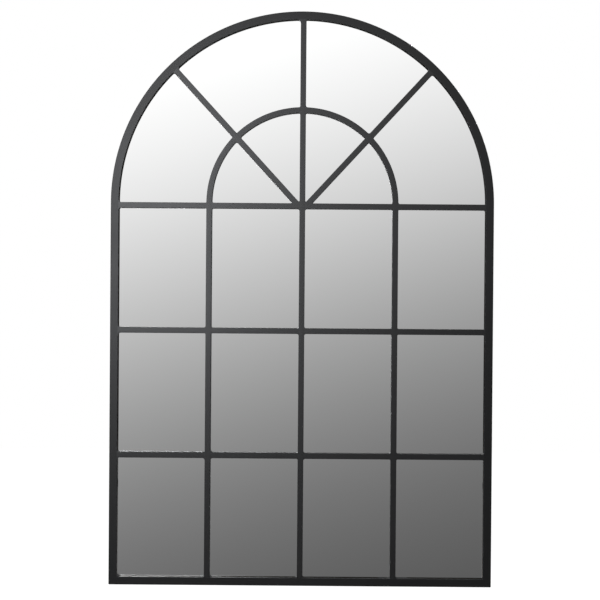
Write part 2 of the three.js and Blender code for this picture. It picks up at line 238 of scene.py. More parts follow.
# Colours, and pairs of colours that a surface lies between
COAT = ((0.0034, 0.0034, 0.0036), (0.0052, 0.0052, 0.0054))
RUBBED_COAT = (0.012, 0.012, 0.0125)
DUST = (0.20, 0.19, 0.18)
SILVER = ((0.968, 0.972, 0.970), (0.975, 0.976, 0.976))
GLASS_GREEN = ((0.012, 0.030, 0.023), (0.022, 0.048, 0.038))
BACKING_GREY = ((0.16, 0.17, 0.18), (0.20, 0.21, 0.22))
FIBRES = ((0.135, 0.074, 0.038), (0.255, 0.150, 0.082))
BOARD_CLOUDS = (0.170, 0.102, 0.060)
ZINC = ((0.46, 0.47, 0.48), (0.66, 0.67, 0.68))
RUBBED_ZINC = (0.80, 0.80, 0.80)
RUBBER = ((0.012, 0.012, 0.012), (0.022, 0.022, 0.022))
# The foam's near-black, with painted shade making it darker in the hollows of its cells
FOAM_AND_PIT_SHADE = ((0.008, 0.008, 0.008), (0.030, 0.030, 0.031))
DARK_NYLON = ((0.018, 0.018, 0.019), (0.030, 0.030, 0.031))


class Finish:
    """A material under way: its Principled shader, its grain and the nodes that feed it."""

    def __init__(self, name, grain, cloud, metallic=0.0, roughness=0.5, specular=0.5):
        self.material = bpy.data.materials.new(name)
        self.material.use_nodes = True
        self.tree = self.material.node_tree
        self.shader = self.tree.nodes["Principled BSDF"]
        self.shader.inputs["Metallic"].default_value = metallic
        self.shader.inputs["Roughness"].default_value = roughness
        self.shader.inputs["Specular IOR Level"].default_value = specular
        texture = self.place_effect(GRAIN, Grain_Scale=grain, Cloud_Scale=cloud)
        self.grain, self.cloud = texture["Grain"], texture["Cloud"]

    def place_effect(self, group, **values):
        """The outputs of an effect with these inputs."""
        node = self.tree.nodes.new("ShaderNodeGroup")
        node.node_tree = group
        for label, value in values.items():
            feed(self.tree, node.inputs[label.replace("_", " ")], value)
        return node.outputs

    def position(self):
        return self.tree.nodes.new("ShaderNodeTexCoord").outputs["Object"]

    def between(self, mask, low, high):
        """A number that goes from low to high with the mask."""
        node = self.tree.nodes.new("ShaderNodeMapRange")
        for label, value in (("Value", mask), ("To Min", low), ("To Max", high)):
            feed(self.tree, node.inputs[label], value)
        return node.outputs["Result"]

    def blend(self, mask, first, second):
        """A colour that goes from first to second with the mask."""
        node = self.tree.nodes.new("ShaderNodeMix")
        node.data_type = "RGBA"
        feed(self.tree, node.inputs["Factor"], mask)
        for name, colour in (("A", first), ("B", second)):
            socket = next(s for s in node.inputs if s.name == name and s.type == "RGBA")
            if not isinstance(colour, bpy.types.NodeSocket):
                colour = (*colour, 1)
            feed(self.tree, socket, colour)
        return next(o for o in node.outputs if o.type == "RGBA")

    def colour(self, socket):
        feed(self.tree, self.shader.inputs["Base Color"], socket)

    def rough(self, socket):
        feed(self.tree, self.shader.inputs["Roughness"], socket)

    def relief(self, height, depth, strength):
        """Bumps as deep as depth, in metres, where height is 1."""
        bump = self.tree.nodes.new("ShaderNodeBump")
        for label, value in (("Strength", strength), ("Distance", depth), ("Height", height)):
            feed(self.tree, bump.inputs[label], value)
        feed(self.tree, self.shader.inputs["Normal"], bump.outputs["Normal"])


def powder_coat(name, specular, side_roughness):
    """Black satin powder coat, thinner on the edges, with orange peel on the faces sprayed square on."""
    finish = Finish(name, grain=950.0, cloud=11.0, roughness=0.37, specular=specular)
    edges = finish.place_effect(RUBBED_EDGES, Amount=0.5, Grain=finish.grain)
    dust = finish.place_effect(SETTLED_DUST, Amount=0.05, Cloud=finish.cloud)
    base = finish.blend(finish.cloud, *COAT)
    base = finish.blend(edges["Mask"], base, RUBBED_COAT)
    finish.colour(finish.blend(dust["Mask"], base, DUST))
    sprayed = finish.place_effect(SPRAYED_FROM_FRONT)
    face_roughness = finish.between(finish.cloud, 0.34, 0.40)
    finish.rough(finish.between(sprayed["Mask"], side_roughness, face_roughness))
    peel = math_node(finish.tree, "MULTIPLY", finish.grain, sprayed["Mask"])
    finish.relief(peel, 0.02 * MM, 0.25)
    return finish.material


def silvered_front():
    """Silvered glass seen from the front, with the faintest haze of wiping."""
    finish = Finish("silvered_front", grain=160.0, cloud=4.0, metallic=1.0, roughness=0.0)
    finish.colour(finish.blend(finish.cloud, *SILVER))
    finish.rough(finish.between(finish.cloud, 0.0, 0.003))
    return finish.material


def glass_edge():
    """The ground and polished edge of the sheet, green with depth."""
    finish = Finish("glass_edge", grain=700.0, cloud=40.0, roughness=0.2)
    finish.colour(finish.blend(finish.cloud, *GLASS_GREEN))
    finish.rough(finish.between(finish.grain, 0.12, 0.35))
    return finish.material


def backing_paint():
    """The grey paint over the silver on the glass's back."""
    finish = Finish("backing_paint", grain=500.0, cloud=18.0, roughness=0.6)
    finish.colour(finish.blend(finish.cloud, *BACKING_GREY))
    finish.rough(finish.between(finish.grain, 0.5, 0.7))
    finish.relief(finish.grain, 0.02 * MM, 0.3)
    return finish.material


def hardboard():
    """Brown hardboard, its rough side out: the press screen's mesh over matted fibres."""
    finish = Finish("hardboard", grain=420.0, cloud=7.0, roughness=0.85, specular=0.25)
    tree = finish.tree
    screen_pitch = 1.8 * MM
    position = finish.position()
    waves = []
    for side in ("X", "Z"):
        turn = math_node(tree, "MULTIPLY", split(tree, position)[side], 2 * math.pi / screen_pitch)
        half_wave = math_node(tree, "MULTIPLY", math_node(tree, "SINE", turn), 0.5)
        waves.append(math_node(tree, "ADD", half_wave, 0.5))
    screen = math_node(tree, "MULTIPLY", *waves)
    stretch = tree.nodes.new("ShaderNodeMapping")
    stretch.inputs["Scale"].default_value = (1.0, 1.0, 0.35)
    tree.links.new(position, stretch.inputs["Vector"])
    matted = stretch.outputs["Vector"]
    fibre = noise_node(tree, matted, 240.0, detail=6.0, roughness=0.5, distortion=1.2)
    base = finish.blend(fibre, *FIBRES)
    finish.colour(finish.blend(finish.between(finish.cloud, 0.0, 0.35), base, BOARD_CLOUDS))
    finish.rough(finish.between(fibre, 0.78, 0.95))
    finish.relief(math_node(tree, "ADD", screen, fibre), 0.18 * MM, 0.7)
    return finish.material


def zinc_plate():
    """Bright zinc on sheet, wire and screws, a little clouded."""
    finish = Finish("zinc_plate", grain=1400.0, cloud=120.0, metallic=1.0, roughness=0.32)
    edges = finish.place_effect(RUBBED_EDGES, Amount=0.8, Grain=finish.grain)
    base = finish.blend(finish.cloud, *ZINC)
    finish.colour(finish.blend(edges["Mask"], base, RUBBED_ZINC))
    finish.rough(finish.between(finish.cloud, 0.24, 0.42))
    finish.relief(finish.grain, 0.01 * MM, 0.25)
    return finish.material


def bumper_rubber():
    """Black moulded rubber with a fine matte texture."""
    finish = Finish("bumper_rubber", grain=1600.0, cloud=90.0, roughness=0.8, specular=0.35)
    dust = finish.place_effect(SETTLED_DUST, Amount=0.15, Cloud=finish.cloud)
    base = finish.blend(finish.cloud, *RUBBER)
    finish.colour(finish.blend(dust["Mask"], base, DUST))
    finish.rough(finish.between(finish.grain, 0.7, 0.9))
    finish.relief(finish.grain, 0.04 * MM, 0.5)
    return finish.material


def foam_tape():
    """Closed-cell foam: small round cells in a near-black body, with painted shade darkening each cell's
    hollow.
    """
    finish = Finish("foam_tape", grain=900.0, cloud=60.0, roughness=0.95, specular=0.2)
    cells = finish.tree.nodes.new("ShaderNodeTexVoronoi")
    feed(finish.tree, cells.inputs["Vector"], finish.position())
    feed(finish.tree, cells.inputs["Scale"], 2200.0)
    # Painted shade: the colour darkens towards each cell's middle, where the relief below sinks into a
    # hollow
    finish.colour(finish.blend(cells.outputs["Distance"], *FOAM_AND_PIT_SHADE))
    finish.rough(finish.between(finish.grain, 0.88, 0.98))
    finish.relief(cells.outputs["Distance"], 0.12 * MM, 0.8)
    return finish.material


def nylon():
    """Dark moulded nylon with a fine spark-eroded texture."""
    finish = Finish("nylon", grain=1300.0, cloud=50.0, roughness=0.5)
    finish.colour(finish.blend(finish.cloud, *DARK_NYLON))
    finish.rough(finish.between(finish.grain, 0.42, 0.6))
    finish.relief(finish.grain, 0.02 * MM, 0.4)
    return finish.material


TUBE_COAT = powder_coat("tube_coat", 0.205, 0.16)  # smooth sides, from drawn tube
BAR_COAT = powder_coat("bar_coat", 0.28, 0.62)  # rough sides, from sheared bar
SILVERED_FRONT = silvered_front()
GLASS_EDGE = glass_edge()
BACKING_PAINT = backing_paint()
HARDBOARD = hardboard()
ZINC_PLATE = zinc_plate()
BUMPER_RUBBER = bumper_rubber()
FOAM_TAPE = foam_tape()
NYLON = nylon()

# -------------------------------- shaping


def verts_of(geom):
    return [g for g in geom if isinstance(g, bmesh.types.BMVert)]


def edges_of(geom):
    return [g for g in geom if isinstance(g, bmesh.types.BMEdge)]


def round_edges(bm, edges, radius, segments=3):
    bmesh.ops.bevel(
        bm, geom=edges, offset=radius, segments=segments, profile=0.5, affect="EDGES", material=-1
    )


def round_corners(bm, corners, radius, segments=5):
    bmesh.ops.bevel(
        bm, geom=corners, offset=radius, segments=segments, profile=0.5, affect="VERTICES", material=-1
    )


def soften(bm, radius):
    """A small rounding on every sharp edge."""
    edges = [e for e in bm.edges if e.is_manifold and e.calc_face_angle() > SHARP]
    round_edges(bm, edges, radius, segments=2)


def trim(bm, point, outward):
    """Cuts off what lies beyond a plane and closes the cut."""
    everything = bm.verts[:] + bm.edges[:] + bm.faces[:]
    cut = bmesh.ops.bisect_plane(
        bm, geom=everything, dist=ON_PLANE, plane_co=point, plane_no=outward, clear_outer=True
    )
    rim = edges_of(cut["geom_cut"])
    if rim:
        bmesh.ops.contextual_create(bm, geom=rim)


def box_bar(low, high, rounding):
    """A bar between two corners, with its long edges rounded."""
    bm = bmesh.new()
    size = high - low
    bmesh.ops.create_cube(bm, size=1)
    bmesh.ops.scale(bm, verts=bm.verts, vec=size)
    bmesh.ops.translate(bm, verts=bm.verts, vec=(low + high) / 2)
    nearly_all = 0.99 * max(size)
    long_edges = [e for e in bm.edges if e.calc_length() > nearly_all]
    round_edges(bm, long_edges, rounding)
    return bm


def ring_bar(radius, width, back, rounding, angle):
    """A bar bent about the springing centre, from the right-hand end of the springing line upwards."""
    bm = bmesh.new()
    corners = [
        bm.verts.new((radius + across, depth, 0))
        for across, depth in (
            (-width / 2, FRONT),
            (width / 2, FRONT),
            (width / 2, back),
            (-width / 2, back),
        )
    ]
    bm.faces.new(corners)
    round_corners(bm, corners, rounding, segments=3)
    bmesh.ops.delete(bm, geom=bm.faces[:], context="FACES_ONLY")
    first = bm.edges[:]
    steps = math.ceil(ARCH_STEPS * angle / math.pi)
    spun = bmesh.ops.spin(
        bm, geom=bm.verts[:] + first, cent=(0, 0, 0), axis=-Y, angle=angle, steps=steps
    )
    bmesh.ops.contextual_create(bm, geom=first)
    bmesh.ops.contextual_create(bm, geom=edges_of(spun["geom_last"]))
    return bm


def deepen(bm, faces, depth):
    """Draws flat faces out along Y into a solid."""
    grown = bmesh.ops.extrude_face_region(bm, geom=faces, use_keep_orig=True)
    bmesh.ops.translate(bm, verts=verts_of(grown["geom"]), vec=Y * depth)


def turned(profile, sides):
    """A shape turned about Y from points given as radius and y."""
    bm = bmesh.new()
    verts = [bm.verts.new((radius, y, 0)) for radius, y in profile]
    edges = [bm.edges.new(pair) for pair in zip(verts, verts[1:])]
    bmesh.ops.spin(
        bm, geom=verts + edges, cent=(0, 0, 0), axis=Y, angle=2 * math.pi, steps=sides, use_merge=True
    )
    bmesh.ops.remove_doubles(bm, verts=bm.verts, dist=TOUCHING)
    return bm


def mirrored(bm, sign):
    """The same shape on the other side where sign is -1."""
    bmesh.ops.scale(bm, verts=bm.verts, vec=(sign, 1, 1))
    return bm


def add_piece(name, bm, materials, body="frame", stands_for=(), even=True):
    """Closes a shape, makes it a piece that rides on a body, and gives it its finish."""
    bmesh.ops.remove_doubles(bm, verts=bm.verts, dist=TOUCHING)
    bmesh.ops.recalc_face_normals(bm, faces=bm.faces)
    for face in bm.faces:
        face.smooth = even
    for edge in bm.edges:
        edge.smooth = not edge.is_manifold or edge.calc_face_angle() < CREASE
    mesh = bpy.data.meshes.new(name)
    bm.to_mesh(mesh)
    bm.free()
    for material in materials:
        mesh.materials.append(material)
    piece = bpy.data.objects.new(name, mesh)
    bpy.context.scene.collection.objects.link(piece)
    if even:
        shading = piece.modifiers.new("even_shading", "WEIGHTED_NORMAL")
        shading.keep_sharp = True
    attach(piece, body)
    if stands_for:
        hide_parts(*stands_for)
    return piece


def add_tube(name, bm, stands_for):
    add_piece(name, bm, [TUBE_COAT], stands_for=[stands_for])


def add_bar(name, bm, *stands_for):
    add_piece(name, bm, [BAR_COAT], stands_for=stands_for)


def add_fitting(name, bm, stands_for, body="frame"):
    add_piece(name, bm, [ZINC_PLATE], body, [stands_for])


# -------------------------------- outer frame


def grind_outer_corner(bm, sign):
    """Rounds the frame's lower outer corner with three flats."""
    centre = Vector((sign * (OUTER - CORNER_ROUND), 0, BOTTOM + CORNER_ROUND))
    for degrees in (22.5, 45, 67.5):
        angle = math.radians(degrees)
        outward = Vector((sign * math.cos(angle), 0, -math.sin(angle)))
        trim(bm, centre + CORNER_ROUND * outward, outward)


add_tube("arch_tube", ring_bar(OUTER - TUBE / 2, TUBE, TUBE_BACK, TUBE_ROUND, math.pi), "frame_arch")

for side, sign in (("left", -1), ("right", 1)):
    corner = Vector((sign * OUTER, 0, BOTTOM))
    stile = box_bar(Vector((INNER, FRONT, BOTTOM)), Vector((OUTER, TUBE_BACK, 0)), TUBE_ROUND)
    mirrored(stile, sign)
    trim(stile, corner, Vector((-sign, 0, -1)))
    grind_outer_corner(stile, sign)
    add_tube(f"{side}_stile_tube", stile, f"{side}_stile")

rail = box_bar(Vector((-OUTER, FRONT, BOTTOM)), Vector((OUTER, TUBE_BACK, SIGHT_LINE)), TUBE_ROUND)
for sign in (-1, 1):
    trim(rail, Vector((sign * OUTER, 0, BOTTOM)), Vector((sign, 0, 1)))
    grind_outer_corner(rail, sign)
add_tube("bottom_rail_tube", rail, "bottom_rail")

# -------------------------------- glazing bars

# Each bar runs on into its neighbours' rounded edges, so that the fronts are flush across the welds.

centre_low = Vector((-HALF_BAR, FRONT, SIGHT_LINE - TUBE_ROUND))
centre_high = Vector((HALF_BAR, BAR_BACK, INNER + TUBE_ROUND))
add_bar("centre_flat_bar", box_bar(centre_low, centre_high, BAR_ROUND), "centre_bar")

for side, sign in (("left", -1), ("right", 1)):
    side_low = Vector((SIDE_BAR - HALF_BAR, FRONT, SIGHT_LINE - TUBE_ROUND))
    side_high = Vector((SIDE_BAR + HALF_BAR, BAR_BACK, 0))
    side_bar = mirrored(box_bar(side_low, side_high, BAR_ROUND), sign)
    add_bar(f"{side}_flat_bar", side_bar, f"{side}_bar")

LEVELS = ("transom", "upper_rung", "lower_rung")
COLUMNS = (1, 2, 3, 4)
for level in LEVELS:
    for column in COLUMNS:
        low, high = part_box(f"{level}_{column}")
        low.x -= TUBE_ROUND if column == COLUMNS[0] else BAR_ROUND
        high.x += TUBE_ROUND if column == COLUMNS[-1] else BAR_ROUND
        add_bar(f"{level}_length_{column}", box_bar(low, high, BAR_ROUND), f"{level}_{column}")

# The right diagonal: where its centre line starts, the way it runs and the way to its lower side
AIM = Vector((0, 0, -DIAGONAL_AIM))
ALONG = Vector((math.sin(DIAGONAL_LEAN), 0, math.cos(DIAGONAL_LEAN)))
ACROSS = Vector((ALONG.z, 0, -ALONG.x))


def on_diagonal(offset, radius):
    """The point on the line offset across the diagonal that lies at a radius."""
    start = AIM + offset * ACROSS
    nearest = -start.dot(ALONG)
    reach = nearest + math.sqrt(nearest**2 - start.length_squared + radius**2)
    return start + reach * ALONG


def diagonal_bar():
    """The right diagonal, let into the transom, the centre bar and the arch."""
    end = on_diagonal(0, INNER + TUBE_ROUND)
    low = Vector((-HALF_BAR, FRONT, 0))
    high = Vector((HALF_BAR, BAR_BACK, OUTER + DIAGONAL_AIM))
    bm = box_bar(low, high, BAR_ROUND)
    bmesh.ops.rotate(bm, verts=bm.verts, cent=(0, 0, 0), matrix=Matrix.Rotation(DIAGONAL_LEAN, 3, "Y"))
    bmesh.ops.translate(bm, verts=bm.verts, vec=AIM)
    trim(bm, Vector((0, 0, -BAR_ROUND)), -Z)
    trim(bm, Vector((HALF_BAR - BAR_ROUND, 0, 0)), -X)
    trim(bm, end, end.normalized())
    return bm


def inner_arc(above):
    """The right half of the inner arch above or below the diagonal."""
    bm = ring_bar(SIDE_BAR, 2 * HALF_BAR, BAR_BACK, BAR_ROUND, math.pi / 2)
    edge = HALF_BAR - BAR_ROUND
    if above:
        trim(bm, AIM - edge * ACROSS, ACROSS)
        trim(bm, Vector((edge, 0, 0)), -X)
    else:
        trim(bm, AIM + edge * ACROSS, -ACROSS)
    return bm


for side, sign in (("left", -1), ("right", 1)):
    add_bar(f"{side}_diagonal_bar", mirrored(diagonal_bar(), sign), f"{side}_diagonal")
    add_bar(f"{side}_lower_arc_bar", mirrored(inner_arc(False), sign), f"{side}_lower_arc")
    add_bar(f"{side}_upper_arc_bar", mirrored(inner_arc(True), sign), f"{side}_upper_arc")

# -------------------------------- welds


def fillet(corner, one_way, other_way, leg):
    """A weld's concave fillet in a corner between two bars that run the two ways from it."""
    bm = bmesh.new()
    opening = one_way.angle(other_way)
    radius = leg * math.tan(opening / 2)
    middle = (one_way + other_way).normalized()
    centre = corner + middle * (radius / math.sin(opening / 2))
    let_in = TUBE_ROUND / math.sin(opening)
    start = bm.verts.new(corner + one_way * leg)
    turn_axis = (start.co - centre).cross(corner + other_way * leg - centre)
    spun = bmesh.ops.spin(
        bm, geom=[start], cent=centre, axis=turn_axis, angle=math.pi - opening, steps=WELD_STEPS
    )
    end = spun["geom_last"][0]
    arc = bm.edges[:]
    beyond_start = bm.verts.new(start.co - other_way * let_in)
    root = bm.verts.new(corner - (one_way + other_way) * let_in)
    beyond_end = bm.verts.new(end.co - one_way * let_in)
    back_way = (end, beyond_end, root, beyond_start, start)
    for pair in zip(back_way, back_way[1:]):
        bm.edges.new(pair)
    made = bmesh.ops.contextual_create(bm, geom=bm.edges[:])
    bmesh.ops.translate(bm, verts=bm.verts, vec=Y * (FRONT + WELD_SINK))
    deepen(bm, made["faces"], BAR_BACK - FRONT - 2 * WELD_SINK)
    round_edges(bm, arc, min(WELD_ROUND, leg / 4), segments=2)
    return bm


def join(bm, other):
    """Moves another shape into a bmesh."""
    carrier = bpy.data.meshes.new("carrier")
    other.to_mesh(carrier)
    other.free()
    bm.from_mesh(carrier)
    bpy.data.meshes.remove(carrier)


def pane_corners():
    """The corners of every pane: the point and the two ways along its edges."""
    edges = [-INNER, -SIDE_BAR, 0, SIDE_BAR, INNER]
    tops = [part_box(f"{level}_1")[0].z for level in LEVELS]
    bottoms = [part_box(f"{level}_1")[1].z for level in LEVELS[1:]] + [SIGHT_LINE]
    for top, bottom in zip(tops, bottoms):
        for column in range(len(edges) - 1):
            left = edges[column] + (0 if column == 0 else HALF_BAR)
            right = edges[column + 1] - (0 if column == len(edges) - 2 else HALF_BAR)
            for x, inward in ((left, 1), (right, -1)):
                yield Vector((x, 0, top)), X * inward, -Z
                yield Vector((x, 0, bottom)), X * inward, Z


def on_circle(radius, x):
    return Vector((x, 0, math.sqrt(radius**2 - x**2)))


def clockwise(point):
    """The way along a circle about the springing centre, down to the right."""
    return Vector((point.z, 0, -point.x)).normalized()


def fan_corners():
    """The corners of the right half of the fan."""
    inside = SIDE_BAR - HALF_BAR
    outside = SIDE_BAR + HALF_BAR
    yield Vector((INNER, 0, 0)), -X, Z
    yield Vector((outside, 0, 0)), X, Z
    yield Vector((inside, 0, 0)), -X, Z
    lower_start = AIM + HALF_BAR * ACROSS
    yield lower_start - ALONG * (lower_start.z / ALONG.z), X, ALONG
    upper_start = AIM - HALF_BAR * ACROSS
    yield upper_start + ALONG * ((HALF_BAR - upper_start.x) / ALONG.x), Z, ALONG
    for offset, turn in ((HALF_BAR, 1), (-HALF_BAR, -1)):
        for radius, way in ((inside, -1), (outside, 1), (INNER, -1)):
            point = on_diagonal(offset, radius)
            yield point, ALONG * way, clockwise(point) * turn
    for radius, way in ((inside, -1), (outside, 1), (INNER, -1)):
        point = on_circle(radius, HALF_BAR)
        yield point, Z * way, clockwise(point)


def middle_of(node):
    low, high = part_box(node)
    return (low + high) / 2


# Where a weld that stands out lies, how far from there it reaches, and how long its legs are
STANDOUT_WELDS = (
    (Vector((-INNER, 0, SIGHT_LINE)), AT_CORNER, 6.5 * MM),
    (Vector((INNER, 0, SIGHT_LINE)), AT_CORNER, 0.9 * MM),
    (on_circle(INNER, -HALF_BAR), AT_CORNER, 5.5 * MM),
    (on_circle(INNER, HALF_BAR), AT_CORNER, 1.2 * MM),
    (Vector((-SIDE_BAR, 0, middle_of("lower_rung_1").z)), ROUND_CROSSING, 5 * MM),
    (-HUB_WELD * X, ROUND_HUB, 4 * MM),
    (HUB_WELD * X, ROUND_HUB, 3.5 * MM),
)


def weld_leg(number, corner):
    """Hand welds differ a little, and a few of them stand out."""
    for place, reach, leg in STANDOUT_WELDS:
        if (corner - place).length < reach:
            return leg
    return WELD_LEG + WELD_SPREAD * math.sin(WELD_RHYTHM * number)


def weld_fillets():
    corners = list(pane_corners())
    for sign in (-1, 1):
        flip = Matrix.Diagonal((sign, 1, 1))
        corners += [[flip @ vector for vector in corner] for corner in fan_corners()]
    bm = bmesh.new()
    for number, (corner, one_way, other_way) in enumerate(corners):
        join(bm, fillet(corner, one_way, other_way, weld_leg(number, corner)))
    return bm


add_bar("weld_fillets", weld_fillets())

# -------------------------------- glass and board


def arched_sheet(low, high, edge_rounding):
    """A sheet with a half-round head, as large as a box, its edges eased."""
    bm = bmesh.new()
    radius = high.x
    start = bm.verts.new((radius, low.y, 0))
    bmesh.ops.spin(
        bm, geom=[start], cent=(0, low.y, 0), axis=-Y, angle=math.pi, steps=ARCH_STEPS
    )
    left_end = min(bm.verts, key=lambda v: v.co.x)
    right_foot = bm.verts.new((radius, low.y, low.z))
    left_foot = bm.verts.new((-radius, low.y, low.z))
    bm.edges.new((start, right_foot))
    bm.edges.new((right_foot, left_foot))
    bm.edges.new((left_foot, left_end))
    made = bmesh.ops.contextual_create(bm, geom=bm.edges[:])
    deepen(bm, made["faces"], high.y - low.y)
    bmesh.ops.recalc_face_normals(bm, faces=bm.faces)
    rims = [e for e in bm.edges if abs(e.verts[0].co.y - e.verts[1].co.y) < SAME_DEPTH]
    round_edges(bm, rims, edge_rounding, segments=2)
    return bm


glass = arched_sheet(glass_low, glass_high, GLASS_EASING)
glass.normal_update()
front, edge, back = range(3)
for face in glass.faces:
    facing = face.normal.y
    face.material_index = front if facing < -SQUARE_ON else back if facing > SQUARE_ON else edge
add_piece(
    "silvered_sheet",
    glass,
    [SILVERED_FRONT, GLASS_EDGE, BACKING_PAINT],
    stands_for=["mirror_glass"],
    even=False,
)

board = arched_sheet(board_low, board_high, BOARD_EASING)
add_piece("hardboard_back", board, [HARDBOARD], stands_for=["backing_board"])

# -------------------------------- screws


def place_fitting(bm, x, y, z, heading=0.0):
    """Turns a fitting in the plane of the mirror and sets it down."""
    turn = Matrix.Rotation(-heading, 3, "Y")
    bmesh.ops.rotate(bm, verts=bm.verts, cent=(0, 0, 0), matrix=turn)
    bmesh.ops.translate(bm, verts=bm.verts, vec=(x, y, z))
    return bm


def pan_head_screw():
    """A screw along Y with its head's underside on y = 0 and a cross recess in its crown."""
    head_sides = 32
    rim_height = 1.1 * MM
    shoulder = 0.9 * SCREW_HEAD
    shoulder_height = 0.82 * SCREW_HEAD_HEIGHT
    crown = 0.62 * SCREW_HEAD
    slot_half = 0.42 * MM
    slot_reach = 1.75 * MM
    recess_depth = 1.1 * MM
    recess_taper = 0.55
    point_length = 2.5 * MM
    profile = (
        (0, -SCREW_LENGTH),
        (SCREW_SHANK, -SCREW_LENGTH + point_length),
        (SCREW_SHANK, 0),
        (SCREW_HEAD, 0),
        (SCREW_HEAD, rim_height),
        (shoulder, shoulder_height),
        (crown, SCREW_HEAD_HEIGHT),
    )
    bm = turned(profile, head_sides)
    rim = [e for e in bm.edges if e.is_boundary]
    cross = []
    for quarter in range(4):
        turn = Matrix.Rotation(quarter * math.pi / 2, 3, "Y")
        for x, z in ((slot_half, slot_half), (slot_reach, slot_half), (slot_reach, -slot_half)):
            cross.append(bm.verts.new(turn @ Vector((x, SCREW_HEAD_HEIGHT, z))))
    lips = [bm.edges.new((a, b)) for a, b in zip(cross, cross[1:] + cross[:1])]
    bmesh.ops.triangle_fill(bm, edges=rim + lips, use_beauty=True)
    walls = bmesh.ops.extrude_edge_only(bm, edges=lips)["geom"]
    floor = verts_of(walls)
    bmesh.ops.translate(bm, verts=floor, vec=-Y * recess_depth)
    bmesh.ops.scale(bm, verts=floor, vec=(recess_taper, 1, recess_taper))
    bmesh.ops.contextual_create(bm, geom=[e for e in edges_of(walls) if e.is_boundary])
    return bm


screw_names = sorted(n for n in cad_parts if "_screw" in n)
for number, node in enumerate(screw_names):
    middle = middle_of(node)
    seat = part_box(node)[1].y - SCREW_HEAD_HEIGHT
    screw = place_fitting(pan_head_screw(), middle.x, seat, middle.z, SCREW_TURN * number)
    add_fitting(f"{node}_cross_head", screw, node)

# -------------------------------- clips


def grow(bm, edges, step):
    """Draws edges on by a straight step, and gives the edges at its end."""
    grown = bmesh.ops.extrude_edge_only(bm, edges=edges)["geom"]
    verts = verts_of(grown)
    bmesh.ops.translate(bm, verts=verts, vec=step)
    return [e for e in edges_of(grown) if set(e.verts) <= set(verts)]


def folded_strip(width, path, bend_radius):
    """A strip of sheet without thickness, bent along a path of points."""
    bm = bmesh.new()
    ends = [bm.verts.new(path[0] + Z * w) for w in (-width / 2, width / 2)]
    edges = [bm.edges.new(ends)]
    folds = []
    for here, onward in zip(path, path[1:]):
        edges = grow(bm, edges, onward - here)
        folds += edges
    round_edges(bm, folds[:-1], bend_radius, segments=4)
    return bm


def thicken(bm, sheet):
    """Gives a sheet its thickness, half to each side."""
    bmesh.ops.recalc_face_normals(bm, faces=bm.faces)
    bm.normal_update()
    for vert in bm.verts:
        vert.co += vert.normal * (sheet / 2)
    bmesh.ops.solidify(bm, geom=bm.faces[:], thickness=sheet)


def retaining_clip():
    """A clip with its foot on y = 0 round the screw at the origin. Its toe points along -X."""
    foot_height = CLIP_SHEET / 2
    toe_height = foot_height - BOARD_RECESS
    step_start = TUBE / 2
    toe_end = TUBE / 2 + CLIP_REACH
    path = [
        Vector((CLIP_FOOT, foot_height, 0)),
        Vector((-step_start, foot_height, 0)),
        Vector((-step_start - CLIP_STEP, toe_height, 0)),
        Vector((-toe_end, toe_height, 0)),
    ]
    bm = folded_strip(CLIP_WIDTH, path, CLIP_BEND)
    foot_corners = [v for v in bm.verts if v.co.x > CLIP_FOOT - TOUCHING]
    toe_corners = [v for v in bm.verts if v.co.x < -toe_end + TOUCHING]
    round_corners(bm, foot_corners, CLIP_FOOT_CORNER)
    round_corners(bm, toe_corners, CLIP_TOE_CORNER)
    thicken(bm, CLIP_SHEET)
    bmesh.ops.recalc_face_normals(bm, faces=bm.faces)
    soften(bm, SHEARED_EDGE)
    return bm


# The way that each clip's foot points, turned from +X
CLIP_HEADINGS = {
    "crown": 90,
    "left_shoulder": 135,
    "left_stile_1": 180,
    "left_stile_2": 180,
    "bottom": 270,
    "right_stile_2": 0,
    "right_stile_1": 0,
    "right_shoulder": 45,
}
for place, heading in CLIP_HEADINGS.items():
    middle = middle_of(f"{place}_clip_screw")
    clip = place_fitting(retaining_clip(), middle.x, TUBE_BACK, middle.z, math.radians(heading))
    add_fitting(f"{place}_bent_clip", clip, f"{place}_clip")

# -------------------------------- ring hangers


def curled_strap():
    """A strap with its pivot at the origin: a flat tail below a curl round the ring's straight side."""
    bm = bmesh.new()
    curl = WIRE + CURL_PLAY + STRAP_SHEET / 2
    half = STRAP_WIDTH / 2
    tail_round = 0.98 * half
    low_end = [bm.verts.new((x, -curl, -STRAP_LENGTH)) for x in (-half, half)]
    top_edge = grow(bm, [bm.edges.new(low_end)], Z * STRAP_LENGTH)[0]
    top = [top_edge, *top_edge.verts]
    bmesh.ops.spin(bm, geom=top, cent=(0, 0, 0), axis=-X, angle=CURL_TURN, steps=CURL_STEPS)
    bmesh.ops.remove_doubles(bm, verts=bm.verts, dist=TOUCHING)
    corners = [v for v in bm.verts if v.co.z < -STRAP_LENGTH + TOUCHING]
    round_corners(bm, corners, tail_round, segments=8)
    thicken(bm, STRAP_SHEET)
    bmesh.ops.recalc_face_normals(bm, faces=bm.faces)
    soften(bm, SHEARED_EDGE)
    return bm


def sweep(bm, edges, centre, angle, steps):
    """Draws a ring of edges round a bend in the plane of the mirror."""
    verts = list(dict.fromkeys(v for e in edges for v in e.verts))
    spun = bmesh.ops.spin(bm, geom=verts + edges, cent=centre, axis=Y, angle=angle, steps=steps)
    return edges_of(spun["geom_last"])


